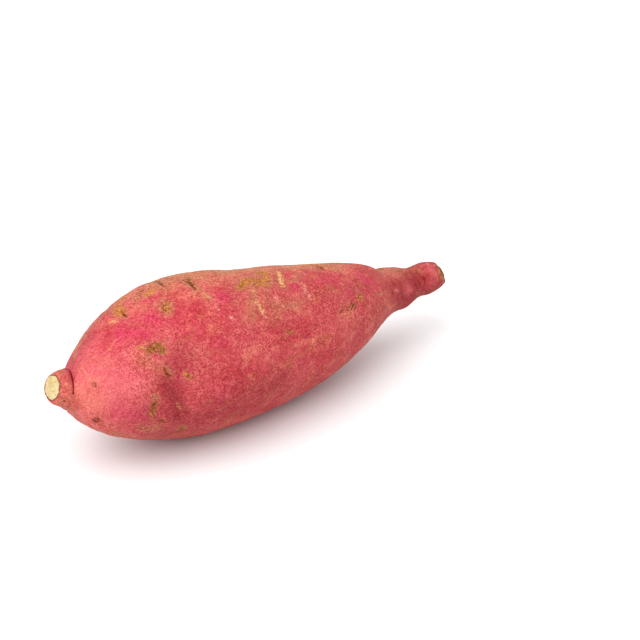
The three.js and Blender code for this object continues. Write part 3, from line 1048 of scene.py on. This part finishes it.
# the cut stem and the broken tail, in mm: edges back from the face of an end and out from its middle
endPattern = {
    "neck": ((6, 11), (11, 14), 0.6),  # depth, radius, cover
    "neckWander": 2,
    "rim": ((1.2, 2.4), (4.95, 5.4), 0.8),
    "rimWander": 0.5,
    "straw": ((0.9, 1.6), (4.55, 4.8), 1),
    "strawWander": 0.4,
    "strawCrumbs": 0.5,
    "greenEdge": (0.3, 0.8),
    "speckEdge": (0.72, 0.95),
    "speckCover": 0.75,
    "tailDepth": (0.2, 1.2),
    "tailWander": 0.6,
    "tailCover": 0.85,
    "dryRadius": (2.6, 4.4),
    "dryWander": 1.2,
    "dryCrumbs": 0.6,
    "dryEdge": (0.2, 0.8),
}


def skinMaterial(colours, finish, pattern, ends):
    material = bpy.data.materials.new("rootSkin")
    material.use_nodes = True
    tree = material.node_tree
    tree.nodes.clear()
    start = Wire(tree)
    shades = {name: screenColour(*colour) for name, colour in colours.items()}
    place = start.node("ShaderNodeTexCoord", output="Object")
    place = start.node("ShaderNodeVectorMath", {"operation": "SCALE"}, {0: place, "Scale": 1 / mm})

    def mask(name):
        return start.node("ShaderNodeAttribute", {"attribute_name": name}, output="Fac")

    def cloud(name):
        size, detail, along, distortion, shift = pattern["clouds"][name]
        moved = {"Vector": place, "Location": shift, "Scale": (along, 1, 1)}
        spot = start.node("ShaderNodeMapping", None, moved)
        values = {"Vector": spot, "Scale": 1 / size, "Detail": detail, "Distortion": distortion}
        return (start.node("ShaderNodeTexNoise", None, values) - 0.5) * pattern["contrast"] + 0.5

    def flakes(size, channel="Red"):  # small cells, each with values of its own
        cells = start.node("ShaderNodeTexVoronoi", None, {"Vector": place, "Scale": 1 / size}, "Color")
        return start.node("ShaderNodeSeparateColor", None, {0: cells}, channel)

    def ridges(clouds):
        return 1 - start.maths("ABSOLUTE", clouds - 0.5, 0) * 2

    clouds = {name: cloud(name) for name in pattern["clouds"]}
    zones, mottle, crumbs = clouds["zones"], clouds["mottle"], clouds["crumbs"]
    fine, fold = pattern["fine"], pattern["crease"]
    grain = clouds["grain"].mixed(flakes(fine["flakeSize"]), fine["flakeShare"])
    colour = shades["rose"]

    def lay(name, amount, shade=None):
        nonlocal colour
        edge, cover = pattern["layers"][name]
        colour = (amount.fade(edge) * cover).over(colour, shade or shades[name])

    # the ground colour of the skin, and broad washes on it; some washes are painted highlight and painted
    # shade
    lay("roseDeep", zones)
    length = start.node("ShaderNodeSeparateXYZ", None, {0: place}, "X")
    lay("roseDull", length.wander(zones, pattern["dullWander"]))
    lay("warm", clouds["warmth"])
    lay("cool", 1 - clouds["warmth"])
    for name in ("blotches", "mottle", "patches"):
        lay(name, clouds[name], shades["peachAndHighlight"])
        lay(name, 1 - clouds[name], shades["roseDeep"])
    lay("tail", length)
    for name, amount in pattern["mottled"].items():
        lay(name, mask(name).wander(mottle, amount))

    # the ruddy neck of the stem
    stemDepth, stemRadius = mask("stemDepth"), mask("stemRadius")

    def stemPart(name, depth, radius):
        depthEdge, radiusEdge, cover = ends[name]
        return depth.within(depthEdge) * radius.within(radiusEdge) * cover

    neck = stemPart("neck", stemDepth.wander(mottle, ends["neckWander"]), stemRadius)
    colour = neck.over(colour, shades["neck"])

    # scuffs, scars and eyes, with a tan veil round them that the specks break up
    scuffs = {name: mask(name).broken(crumbs, amount) for name, amount in pattern["crumbly"].items()}
    veil = mask("ochre").most(mask("olive")).most(mask("brown") * pattern["veilBrown"])
    tone = grain.mixed(crumbs, pattern["toneCrumbs"]).fade(pattern["toneEdge"])
    lay("tan", scuffs["tan"])
    lay("veil", veil.broken(clouds["specks"], pattern["veilSpecks"]), shades["tan"])
    lay("eye", scuffs["eye"], shades["olive"])
    for name in ("ochre", "olive"):
        lay(name, scuffs[name], tone.over(shades[name + "Deep"], shades[name]))
    for name in ("pink", "pale"):
        lay(name, scuffs[name])
    lay("halo", scuffs["brown"])
    for name in ("brown", "umber"):
        lay(name, scuffs[name])

    # creases are darkened with painted shade: the neck's is a fine dark line in a band of painted shadow
    crease = mask("crease")
    gap = start.maths("ABSOLUTE", mask("creaseGap"), 0).wander(crumbs, fold["wander"])
    creaseShadow = gap.within(fold["creaseShadow"]) * crease * fold["creaseShadowCover"]
    colour = creaseShadow.over(colour, shades["crimsonAndShade"])
    colour = (gap.within(fold["line"]) * crease.fade(fold["ends"])).over(colour, shades["crease"])
    other = crease.fade(fold["otherEdge"]) * gap.fade(fold["others"]) * fold["otherCover"]
    colour = other.over(colour, shades["crease"])

    # fine light flecks and lines, and small dark pores, over skin and marks alike
    worms = ridges(clouds["worms"]).fade(fine["worms"]) * crumbs.fade(fine["wormGaps"])
    strands = ridges(clouds["strands"]).fade(fine["strands"]) * mottle.fade(fine["strandGaps"])
    flecks = flakes(fine["fleckSize"]).fade(fine["flecks"]).most(worms.most(strands) * fine["lineShare"])
    pores = flakes(fine["fleckSize"], "Green").fade(fine["pores"])
    bright = (grain - 0.5).most(0)
    detail = (grain - 0.5) * fine["grainShare"] + bright * bright * fine["sparkleShare"]
    detail = detail.wander(crumbs, fine["crumbShare"]) + flecks * fine["fleckShare"]
    detail = detail - pores * fine["poreShare"] - fine["darker"]
    coarse = clouds["coarse"].fade(fine["coarse"]) * fine["coarseShare"]
    coarse = coarse + fine["coarseLeast"] + mask("dustAndSheen") * fine["dustAndSheenShare"]
    calm = mask("smooth").fade(fine["calm"]) * fine["calmShare"]
    detail = 0.5 + detail * coarse * (1 - calm)
    colour = detail.over(colour.tinted(finish["darkTint"]), colour.tinted(finish["lightTint"]))

    # the stem's cut, straw-coloured in a dark rim
    rim = stemPart("rim", stemDepth, stemRadius.wander(crumbs, ends["rimWander"]))
    colour = rim.over(colour, shades["rim"])
    straw = stemPart("straw", stemDepth, stemRadius.wander(crumbs, ends["strawWander"]))
    green = mottle.mixed(crumbs, ends["strawCrumbs"]).fade(ends["greenEdge"])
    strawColour = green.over(shades["straw"], shades["strawGreen"])
    dots = clouds["strawSpecks"].fade(ends["speckEdge"]) * ends["speckCover"]
    colour = straw.over(colour, dots.over(strawColour, shades["strawSpeck"]))

    # the broken tail, dry inside a dark rim
    tail = mask("tailDepth").wander(crumbs, ends["tailWander"]).within(ends["tailDepth"])
    dry = mottle.mixed(crumbs, ends["dryCrumbs"]).fade(ends["dryEdge"])
    dry = dry * mask("tailRadius").wander(crumbs, ends["dryWander"]).within(ends["dryRadius"])
    colour = (tail * ends["tailCover"]).over(colour, dry.over(shades["tailRim"], shades["tailDry"]))

    roughness = finish["roughness"] + (crumbs - 0.5) * finish["crumbRoughness"]
    roughness = roughness + flecks * finish["fleckRoughness"]
    height = clouds["specks"] * finish["bumpSpecks"] + grain * finish["bumpGrain"]
    height = height + clouds["patches"] * finish["bumpPatches"]
    bump = start.node("ShaderNodeBump", None, {"Distance": finish["bumpHeight"], "Height": height})
    shader = start.node("ShaderNodeBsdfPrincipled", None, {
        "Base Color": colour,
        "Roughness": roughness,
        "Specular IOR Level": finish["specular"],
        "Sheen Weight": finish["sheen"],
        "Sheen Roughness": finish["sheenRoughness"],
        "Sheen Tint": shades["sheenTint"],
        "Normal": bump,
    })
    start.node("ShaderNodeOutputMaterial", None, {"Surface": shader})
    return material


skin.data.materials.append(skinMaterial(skinColours, skinFinish, skinPattern, endPattern))
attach(skin, "root")
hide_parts("sweet_potato")
print("skin finished")


# a pale floor under a white sky, and one large soft lamp, far off on the stem's side
studio = {
    "floorSize": 8,  # metres
    "floorColour": (0.8, 0.8, 0.8, 1),
    "floorRoughness": 0.9,
    "floorSpecular": 0.1,
    "sky": (1, 1, 1, 1),
    "skyStrength": 1,
    "lampAzimuth": -85,  # degrees, counted as the camera's
    "lampElevation": 55,
    "lampSpread": 75,  # degrees, wide and soft
    "lampStrength": 2.6,
}


def addStudio(setup):
    bpy.ops.mesh.primitive_plane_add(size=setup["floorSize"])
    floor = bpy.context.object
    floor.name = "floor"
    paint = bpy.data.materials.new("floorPaint")
    paint.use_nodes = True
    shader = paint.node_tree.nodes["Principled BSDF"]
    shader.inputs["Base Color"].default_value = setup["floorColour"]
    shader.inputs["Roughness"].default_value = setup["floorRoughness"]
    shader.inputs["Specular IOR Level"].default_value = setup["floorSpecular"]
    floor.data.materials.append(paint)
    turn = (math.radians(90 - setup["lampElevation"]), 0, math.radians(setup["lampAzimuth"]))
    bpy.ops.object.light_add(type="SUN", rotation=turn)
    lamp = bpy.context.object
    lamp.name = "softLamp"
    lamp.data.energy = setup["lampStrength"]
    lamp.data.angle = math.radians(setup["lampSpread"])
    world = bpy.data.worlds.new("studioSky")
    world.use_nodes = True
    sky = world.node_tree.nodes["Background"]
    sky.inputs["Color"].default_value = setup["sky"]
    sky.inputs["Strength"].default_value = setup["skyStrength"]
    bpy.context.scene.world = world
    bpy.context.scene.view_settings.view_transform = "Standard"


addStudio(studio)
print("studio lit")
